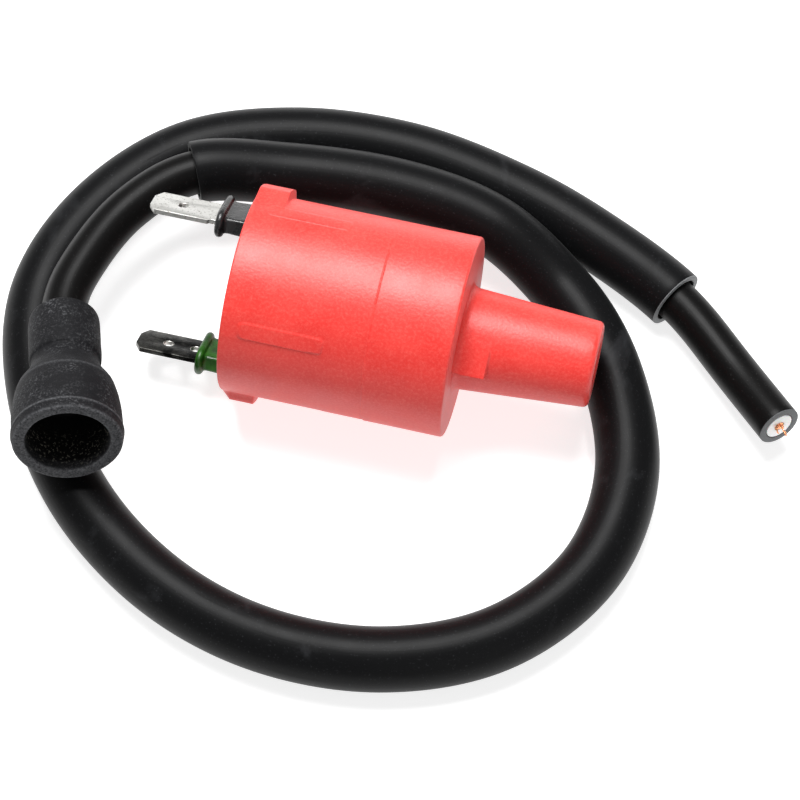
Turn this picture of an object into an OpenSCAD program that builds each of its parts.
// Ignition coil with its high-tension lead, protective sleeve and rubber boot.
// The coil lies on its side on a flat surface, inside a loose spiral of its own lead.
// +X runs along the coil from the spade terminals to the lead tower, +Z is up, and the
// origin is on the surface, under the middle of the coil's box. Millimetres.

/* [Housing] */
// Outer diameter of the coil body
body_d = 31.5; // [30:0.1:33]
// Length of the coil body, without the lead tower
body_len = 35.2; // [34:0.1:38]
// Thickness of the cup's wall
wall = 1.5; // [1.4:0.05:1.6]
// How far the mould line stands in from the full diameter, on the terminal side
mould_step = 0.1; // [0.05:0.01:0.2]
// Distance from the rim to the mould line
mould_line = 22.6; // [20:0.1:25]

/* [Lead tower] */
// Length of the tower that takes the high-tension lead
tower_len = 21; // [19:0.5:24]
// Diameter of the tower where it leaves the body
tower_base_d = 16.1; // [15.5:0.1:17]
// Diameter of the tower at its tip
tower_tip_d = 13.4; // [12.5:0.1:14]
// Diameter of the lead socket
socket_d = 7.2; // [7.1:0.05:7.4]
// Depth of the socket down to the spike's recess
socket_len = 11; // [9:0.5:13]

/* [Spade terminals] */
// Width of a terminal blade
blade_w = 6.3; // [6:0.1:6.5]
// Thickness of a terminal blade
blade_t = 0.8; // [0.7:0.05:0.9]
// How far a blade's tip stands out of the rim
blade_out = 15.6; // [14:0.1:17]
// Distance of each blade from the coil's axis
blade_off = 12.2; // [12.1:0.05:12.3]
// Angle of the line through both blades, up from the near side of the coil
blade_angle = 125; // [100:1:140]
// Distance from the rim to the flange of a terminal sleeve
collar_out = 3.5; // [3:0.1:4.5]
// The same distance on the earth terminal
earth_collar_out = 4.2; // [3:0.1:4.5]

/* [Core and windings] */
// Side of the square laminated core
core_side = 6; // [5:0.1:6.2]
// Number of laminations
core_strips = 10; // [6:1:12]
// Number of winding slots on the secondary bobbin
slots = 8; // [6:1:10]

/* [High-tension lead] */
// Outer diameter of the lead
lead_d = 7; // [6.8:0.1:7]
// Diameter of the white insulation under the jacket
insulation_d = 4.56; // [4.2:0.02:4.56]
// Diameter of the stranded conductor
conductor_d = 1.5; // [1.2:0.05:1.6]
// Outer diameter of the loose protective sleeve
sleeve_d = 10; // [9.8:0.1:10]
// Bore of the protective sleeve
sleeve_bore = 8; // [7.8:0.1:8.2]

/* [Rubber boot] */
// Outer diameter of the boot at its mouth
boot_d = 17; // [16.5:0.1:17.2]
// Bore of the boot's mouth
boot_bore = 12.6; // [12.2:0.1:13]
// Outer diameter of the boot's neck
boot_neck_d = 11.2; // [10.8:0.1:11.4]
// Length of the boot
boot_len = 25.2; // [24.8:0.1:25.6]
// Upward tilt of the boot's mouth
boot_tilt = 15.2; // [14:0.1:17]
// Direction of the boot's mouth in plan
boot_azimuth = -71.3; // [-73:0.1:-70]

/* [Hidden] */
$fn = 96;

body_r = body_d / 2;
cup_r = body_r - wall;
total_len = blade_out + body_len + tower_len;
rim_x = blade_out - total_len / 2;

// Winding pack, measured along the coil from the rim
recess = 1.2;
cup_depth = body_len - 2;
pack_start = 3.2;
pack_end = 29;
pack_room = [2.35, 31.35];
pack_gap = 0.1;
potting_gap = 0.06;
core_from = 4.2;
core_to = 27.4;
core_room = 0.1;
notch = 1;
primary_tube_r = 5.7;
primary_flange_r = 7.5;
primary_end_t = 1;
primary_end = 28.2;
winding_gap = 0.02;
primary_wire_r = 7.1;
tape_r = 7.3;
secondary_tube_r = [7.6, 8.5];
secondary_flange_r = 11.4;
secondary_flange_t = 0.7;
secondary_wire_r = 10.9;
end_wall_t = 1.2;
slot_pitch = (pack_end - pack_start - secondary_flange_t) / slots;

// Lugs, raised bands and the tower's ribs, at angles up from the near side of the coil
lug_r = 17;
lug_len = 5;
lug_turns = [0, 187];
lug_foot = 121;
lug_top = [15.5, 35.5];
lug_back = 40;
sunk_r = cup_r + 0.3;
band_angles = [41.3, 119];
band_half = 4.9;
band_up = 0.15;
band_span = [2.7, 16];
rib_angles = [40, 220];
rib_size = [9.3, 5.2, 5.2];
rib_sunk = 0.5;
rib_foot_r = 5;

// Terminal parts
collar_size = [7, 2.8];
flange_size = [9.5, 4.6];
flange_t = 1.25;
collar_in = 2.2;
blade_in = 6.8;
blade_room = 0.05;
blade_slot_t = 1.6;
tip_chamfer = [1.1, 1.6];
fit_gap = 0.02;
tab_hole_d = 1.7;
tab_hole_from_tip = 4.9;
second_hole_from_tip = 9.3;
wire_d = 0.6;
wire_level = 2.75;
wire_r = 6.7;
fine_wire_d = 0.3;
solder = [0.42, 0.6];

// Contact at the bottom of the tower
contact_r = 4;
contact_t = 0.8;
spike_head = [2.6, 1.1];
spike_r = 1.2;
spike_point = 2.6;
spike_len = 11.5;
spike_recess_r = 3.2;
spike_recess_len = 5.2;

// Boot: the neck's open end, and the way from there to the mouth
boot_neck = [-46.2, -10.6, 14.5];
boot_dir = [cos(boot_azimuth) * cos(boot_tilt), sin(boot_azimuth) * cos(boot_tilt), sin(boot_tilt)];
boot_cavity = 10.5;
boot_cone = 3;
running_gap = 0.05;
jacket_gap = 0.12;
strand_gap = 0.1;
thick_sides = 12;
thin_sides = 8;
strands = 7;
strand_d = 0.3;
strand_len = 2.2;
strand_ring_r = 0.45;
strand_lean = 0.5;

// Route of the lead from the end inside the boot to its cut end, in order
lead_start = boot_neck + (boot_len - boot_cavity - boot_cone) * boot_dir;
lead_leaves = boot_neck - 2 * boot_dir;
free_route = [
    [-46.2, 0.5, 13.4], [-42, 11.7, 12.9], [-33.6, 20.5, 12.9],
    [-19.2, 24.5, 11.4], [-2, 26, 10.8], [14, 23.8, 9.8], [28, 16.5, 5.6],
    [38, 4.5, 5], [43.8, -12, 5], [41.5, -29, 5], [30.5, -43, 5], [14, -50.5, 5],
    [-4.5, -51.5, 5], [-22, -46.3, 5], [-37.5, -35.3, 5], [-48.5, -20, 5], [-53.3, -2.6, 5],
    [-48.9, 14.3, 5], [-37.4, 28.3, 5], [-20.5, 35, 5], [-2, 36.4, 5], [16, 33, 5],
    [31, 27.4, 5], [45.4, 19.7, 5],
    [56, 10, 5.4], [65.3, 0, 8]
];
route = concat([lead_start, lead_leaves], free_route);
sleeve_from = 4;
sleeve_to = len(route) - 3;

function unit(v) = v / norm(v);

// Points of an arc, for rounding a turned outline
function arc(c, r, a0, a1, n = 5) =
    [for (i = [0:n]) c + r * [cos(a0 + (a1 - a0) * i / n), sin(a0 + (a1 - a0) * i / n)]];

// Direction of the route at point i of a list
function heading(p, i) = unit(p[min(i + 1, len(p) - 1)] - p[max(i - 1, 0)]);

// Ring of n points round point i of the route, square to the route
function ring(p, i, r, n) =
    let (t = heading(p, i), s = unit(cross(t, [0, 0, 1])), u = cross(s, t))
    [for (k = [0:n - 1]) p[i] + r * (cos(k * 360 / n) * s + sin(k * 360 / n) * u)];

// Two triangles that cover the four points a, b, c and d
function quad(a, b, c, d) = [[a, b, c], [a, c, d]];

// Closed tube of n sides and radius r along the points p
module solid_sweep(p, r, n) {
    m = len(p);
    rings = [for (i = [0:m - 1]) each ring(p, i, r, n)];
    sides = [for (i = [0:m - 2]) for (k = [0:n - 1]) let (a = i * n + k, b = i * n + (k + 1) % n)
        each quad(a, b, b + n, a + n)];
    first_end = [for (k = [n - 1:-1:0]) k];
    last_end = [for (k = [0:n - 1]) (m - 1) * n + k];
    polyhedron(rings, concat(sides, [first_end, last_end]), convexity = 10);
}

// Hollow tube of n sides along the points p, with ring-shaped ends
module hollow_sweep(p, r_out, r_in, n) {
    m = len(p);
    in = m * n;
    end = (m - 1) * n;
    rings = concat([for (i = [0:m - 1]) each ring(p, i, r_out, n)],
                   [for (i = [0:m - 1]) each ring(p, i, r_in, n)]);
    walls = [for (i = [0:m - 2]) for (k = [0:n - 1]) let (a = i * n + k, b = i * n + (k + 1) % n)
        each concat(quad(a, b, b + n, a + n), quad(in + a, in + a + n, in + b + n, in + b))];
    ends = [for (k = [0:n - 1]) let (a = k, b = (k + 1) % n)
        each concat(quad(a, in + a, in + b, b),
                    quad(end + a, end + b, in + end + b, in + end + a))];
    polyhedron(rings, concat(walls, ends), convexity = 10);
}

// Puts what is drawn along +Z from the rim onto the coil's axis, pointing at the tower
module along_coil(from_rim = 0) {
    translate([rim_x + from_rim, 0, body_r]) rotate([0, 90, 0]) children();
}

// Turns +X of what is drawn inside along_coil to the angle a, up from the coil's near side
module at_angle(a) {
    rotate([0, 0, -90 - a]) children();
}

// Point of the coil's cross-section, at a radius and an angle up from its near side
function spot(r, a) = r * [cos(-90 - a), sin(-90 - a)];

// Tube round the coil's axis, between two radii and two distances from the rim
module tube(r_in, r_out, from, to) {
    along_coil(from) difference() {
        cylinder(r = r_out, h = to - from);
        translate([0, 0, -1]) cylinder(r = r_in, h = to - from + 2);
    }
}

// Block centred on a terminal's line: across the blade, through it, and along the coil
module terminal_block(side, across, through, from, to) {
    along_coil(from) at_angle(blade_angle + (side > 0 ? 0 : 180))
        translate([blade_off - through / 2, -across / 2, 0]) cube([through, across, to - from]);
}

// Outline of half the housing: radius, and distance from the rim
function housing_outline() =
    let (skin_r = body_r - mould_step, base_r = tower_base_d / 2, tip_r = tower_tip_d / 2,
         bore_r = socket_d / 2, top = body_len + tower_len, floor = top - socket_len,
         edge = 0.8, fillet = 1.2, lead_in = 0.3, rim_edge = 0.2)
    concat(
        [[cup_r, 0], [skin_r - rim_edge, 0], [skin_r, rim_edge], [skin_r, mould_line], [body_r, mould_line]],
        arc([body_r - edge, body_len - edge], edge, 0, 90),
        arc([base_r + fillet, body_len + fillet], fillet, 270, 180),
        arc([tip_r - fillet, top - fillet], fillet, 0, 90),
        [[bore_r + lead_in, top], [bore_r, top - lead_in], [bore_r, floor], [spike_recess_r, floor],
         [spike_recess_r, floor - spike_recess_len], [spike_r, floor - spike_recess_len],
         [spike_r, cup_depth], [cup_r, cup_depth]]);

// Moulded lug at the rim: a steep face, a round top and a back that falls to the body
module lug(turn) {
    foot = lug_foot - turn;
    skin_r = body_r - mould_step;
    section = concat(
        [spot(skin_r, foot)],
        [for (a = [lug_top[0]:5:lug_top[1]]) spot(lug_r, foot + a)],
        [for (a = [lug_back:-5:0]) spot(sunk_r, foot + a)]);
    along_coil() linear_extrude(lug_len) polygon(section);
}

// Flat raised band along the body
module raised_band(middle) {
    low = middle - band_half;
    section = concat(
        [for (i = [0:4]) spot(body_r - mould_step + band_up, low + i * band_half / 2)],
        [for (i = [4:-1:0]) spot(sunk_r, low + i * band_half / 2)]);
    along_coil(band_span[0]) linear_extrude(band_span[1] - band_span[0]) polygon(section);
}

// Square rib on the tower where it meets the body
module tower_rib(a) {
    along_coil(body_len - rib_sunk) at_angle(a) translate([rib_foot_r, -rib_size[1] / 2, 0])
        cube([rib_size[0] - rib_foot_r, rib_size[1], rib_size[2] + rib_sunk]);
}

// Moulded cup and lead tower
module housing() {
    color("tomato") {
        along_coil() rotate_extrude() polygon(housing_outline());
        for (turn = lug_turns) lug(turn);
        for (a = band_angles) raised_band(a);
        for (a = rib_angles) tower_rib(a);
    }
}

// Cast resin that closes the rim end and surrounds the winding pack
module potting() {
    color("dimgray") difference() {
        along_coil(recess) cylinder(r = cup_r - potting_gap, h = cup_depth - recess - potting_gap);
        along_coil(pack_room[0])
            cylinder(r = secondary_flange_r + pack_gap, h = pack_room[1] - pack_room[0]);
        along_coil(pack_room[1] - 1)
            cylinder(r = contact_r + pack_gap, h = cup_depth - pack_room[1] + 2);
        for (side = [1, -1]) {
            terminal_block(side, collar_size[0] + 2 * fit_gap, collar_size[1] + 2 * fit_gap,
                           recess - 1, pack_room[0] + 0.1);
            terminal_block(side, blade_w + 2 * blade_room, blade_slot_t, pack_room[0], blade_in + blade_room);
        }
    }
}

// Stack of silicon-steel strips on the coil's axis
module core_laminations() {
    pitch = core_side / core_strips;
    color("gray") along_coil(core_from) at_angle(blade_angle)
        for (i = [0:core_strips - 1])
            translate([i * pitch - core_side / 2 + fit_gap / 2, -core_side / 2, 0])
                cube([pitch - fit_gap, core_side, core_to - core_from]);
}

// Bobbin round the core, with a square bore and a notch for each lead-out wire
module primary_bobbin() {
    bore = core_side + core_room;
    color("ivory") difference() {
        union() {
            along_coil(pack_start) cylinder(r = primary_tube_r, h = primary_end - pack_start);
            for (x = [pack_start, primary_end - primary_end_t])
                along_coil(x) cylinder(r = primary_flange_r, h = primary_end_t);
        }
        along_coil(pack_start - 1) at_angle(blade_angle)
            translate([-bore / 2, -bore / 2, 0]) cube([bore, bore, pack_end]);
        for (side = [0, 180])
            along_coil(pack_start - 1) at_angle(blade_angle + side)
                translate([wire_r - notch / 2, -notch / 2, 0]) cube([2 * notch, notch, primary_end_t + 1.02]);
    }
}

// Heavy primary winding, as one solid
module primary_winding() {
    color("chocolate") tube(primary_tube_r + winding_gap, primary_wire_r,
                            pack_start + primary_end_t + winding_gap,
                            primary_end - primary_end_t - winding_gap);
}

// Insulating tape wound over the primary
module primary_tape() {
    color("khaki") tube(primary_wire_r + winding_gap, tape_r,
                        pack_start + primary_end_t + winding_gap,
                        primary_end - primary_end_t - winding_gap);
}

// Slotted bobbin with a closed end towards the tower
module secondary_bobbin() {
    color("linen") difference() {
        union() {
            tube(secondary_tube_r[0], secondary_tube_r[1], pack_start, pack_end);
            for (i = [0:slots])
                tube(secondary_tube_r[0], secondary_flange_r,
                     pack_start + i * slot_pitch, pack_start + i * slot_pitch + secondary_flange_t);
            along_coil(pack_end) cylinder(r = secondary_tube_r[1], h = end_wall_t);
        }
        along_coil(pack_end - 1) at_angle(0)
            translate([secondary_wire_r - notch, -notch / 2, 0]) cube([2 * notch, notch, 2]);
    }
}

// Fine secondary winding, one ring for each slot
module secondary_winding() {
    color("sienna") for (i = [0:slots - 1])
        tube(secondary_tube_r[1] + winding_gap, secondary_wire_r,
             pack_start + i * slot_pitch + secondary_flange_t + winding_gap,
             pack_start + (i + 1) * slot_pitch - winding_gap);
}

// Brass disc that the secondary's high-tension end is joined to
module tower_contact() {
    color("goldenrod") along_coil(cup_depth - spike_head[1] - contact_t)
        cylinder(r = contact_r, h = contact_t);
}

// Brass spike that goes through the tower's floor into the lead's conductor
module tower_spike() {
    color("gold") along_coil(cup_depth) {
        translate([0, 0, -spike_head[1]]) cylinder(r = spike_head[0], h = spike_head[1]);
        cylinder(r = spike_r - 0.01, h = spike_len - spike_point);
        translate([0, 0, spike_len - spike_point])
            cylinder(r1 = spike_r - 0.01, r2 = 0.15, h = spike_point);
    }
}

// Flat spade terminal, with holes at the given distances from its tip
module blade(side, holes) {
    tip = [[0, tip_chamfer[0]], [tip_chamfer[1], 0], [blade_out + blade_in, 0],
           [blade_out + blade_in, blade_w], [tip_chamfer[1], blade_w], [0, blade_w - tip_chamfer[0]]];
    along_coil(-blade_out) at_angle(blade_angle + (side > 0 ? 0 : 180)) difference() {
        translate([blade_off + blade_t / 2, -blade_w / 2, 0]) rotate([0, -90, 0])
            linear_extrude(blade_t) polygon(tip);
        for (h = holes) translate([blade_off - 1, 0, h]) rotate([0, 90, 0]) cylinder(d = tab_hole_d, h = 2);
    }
}

module live_blade() {
    color("gainsboro") blade(1, [tab_hole_from_tip]);
}

module earth_blade() {
    color("silver") blade(-1, [tab_hole_from_tip, second_hole_from_tip]);
}

// Insulating collar round a blade, with an oblong flange outside the rim
module collar(side) {
    round_r = flange_size[1] / 2;
    straight = flange_size[0] - flange_size[1];
    out = side > 0 ? collar_out : earth_collar_out;
    difference() {
        union() {
            terminal_block(side, collar_size[0], collar_size[1], -out, collar_in);
            along_coil(-out - flange_t) at_angle(blade_angle + (side > 0 ? 0 : 180))
                translate([blade_off, 0, 0]) {
                    for (y = [-straight / 2, straight / 2])
                        translate([0, y, 0]) cylinder(r = round_r, h = flange_t);
                    translate([-round_r, -straight / 2, 0]) cube([2 * round_r, straight, flange_t]);
                }
        }
        terminal_block(side, blade_w + 2 * fit_gap, blade_t + 2 * fit_gap, -out - 3, collar_in + 1);
    }
}

module live_collar() {
    color("#202020") collar(1);
}

module earth_collar() {
    color("darkgreen") collar(-1);
}

// Wire in the plane of a terminal: out of the primary, past its flange and across to the blade
module lead_out(side) {
    reach = blade_off - blade_t / 2 - solder[1];
    along_coil(wire_level) at_angle(blade_angle + (side > 0 ? 0 : 180)) translate([wire_r, 0, 0]) {
        cylinder(d = wire_d, h = pack_start + primary_end_t - wire_level);
        sphere(d = wire_d);
        rotate([0, 90, 0]) cylinder(d = wire_d, h = reach - wire_r);
    }
}

module live_wire() {
    color("orangered") lead_out(1);
}

module earth_wire() {
    color("orangered") lead_out(-1);
}

// Solder between each lead-out wire and its blade
module solder_joints() {
    color("lightgray") for (side = [0, 180])
        along_coil(wire_level) at_angle(blade_angle + side)
            translate([blade_off - blade_t / 2 - solder[1], 0, 0]) rotate([0, 90, 0])
                cylinder(r = solder[0], h = solder[1] - 0.01);
}

// Start of the secondary, joined to the back of the earth blade
module secondary_earth_wire() {
    first_slot = pack_start + (slot_pitch + secondary_flange_t) / 2;
    color("orangered") along_coil(first_slot) at_angle(blade_angle + 180)
        translate([secondary_wire_r + 0.01, 0, 0]) rotate([0, 90, 0])
            cylinder(d = fine_wire_d, h = blade_off - blade_t / 2 - secondary_wire_r - 0.02);
}

// End of the secondary, through the last flange and across to the brass contact
module secondary_tower_wire() {
    contact_face = cup_depth - spike_head[1] - contact_t;
    level = contact_face - fine_wire_d;
    out = secondary_wire_r - fine_wire_d;
    landing = contact_r - 1.5;
    wound_end = pack_end - secondary_flange_t;
    color("orangered") along_coil() at_angle(0) {
        translate([out, 0, wound_end]) cylinder(d = fine_wire_d, h = level - wound_end);
        for (x = [landing, out]) translate([x, 0, level]) sphere(d = fine_wire_d);
        translate([landing, 0, level]) rotate([0, 90, 0]) cylinder(d = fine_wire_d, h = out - landing);
        translate([landing, 0, level]) cylinder(d = fine_wire_d, h = fine_wire_d - 0.01);
    }
}

// Black outer jacket of the lead, hollow from end to end
module lead_jacket() {
    color("#1c1c1e") hollow_sweep(route, lead_d / 2, insulation_d / 2 + jacket_gap, thick_sides);
}

// White insulation inside the jacket
module lead_insulation() {
    color("whitesmoke") hollow_sweep(route, insulation_d / 2, conductor_d / 2 + strand_gap, thin_sides);
}

// Stranded conductor, as one solid
module lead_conductor() {
    color("peru") solid_sweep(route, conductor_d / 2, thin_sides);
}

// Loose strands that stand out of the cut end
module frayed_strands() {
    last = len(route) - 1;
    t = heading(route, last);
    s = unit(cross(t, [0, 0, 1]));
    u = cross(s, t);
    color("orange") for (k = [0:strands - 1]) {
        out = k == 0 ? [0, 0, 0] : cos(k * 360 / (strands - 1)) * s + sin(k * 360 / (strands - 1)) * u;
        lean = unit(t + strand_lean * out);
        translate(route[last] + strand_ring_r * out + fit_gap * t)
            rotate([0, acos(lean[2]), atan2(lean[1], lean[0])]) cylinder(d = strand_d, h = strand_len);
    }
}

// Loose sleeve over the lead
module protective_sleeve() {
    color("#151515") hollow_sweep([for (i = [sleeve_from:sleeve_to]) route[i]],
                                  sleeve_d / 2, sleeve_bore / 2, thick_sides);
}

// Outline of half the boot: radius, and distance from the neck's open end
function boot_outline() =
    let (r = boot_d / 2, bore_r = boot_bore / 2, neck_r = boot_neck_d / 2, grip_r = lead_d / 2 + running_gap,
         mouth = boot_len, inner = boot_len - boot_cavity)
    [[grip_r, 0], [neck_r - 0.8, 0], [neck_r, 0.8], [neck_r, 8.7], [neck_r - 0.35, 9.3], [neck_r - 0.3, 10.4],
     [neck_r + 1.4, 13], [r - 0.5, 14.9], [r - 0.2, 17], [r, 20], [r, mouth - 0.7], [r - 0.4, mouth],
     [bore_r, mouth], [bore_r, inner], [grip_r, inner - boot_cone]];

// Rubber boot: a neck that grips the lead and a wide mouth that goes over the tower
module rubber_boot() {
    color("#2a2a2c") translate(boot_neck) rotate([0, 90 - boot_tilt, boot_azimuth])
        rotate_extrude() polygon(boot_outline());
}

housing();
potting();
core_laminations();
primary_bobbin();
primary_winding();
primary_tape();
secondary_bobbin();
secondary_winding();
tower_contact();
tower_spike();
live_blade();
earth_blade();
live_collar();
earth_collar();
live_wire();
earth_wire();
secondary_earth_wire();
secondary_tower_wire();
solder_joints();
lead_jacket();
lead_insulation();
lead_conductor();
frayed_strands();
protective_sleeve();
rubber_boot();
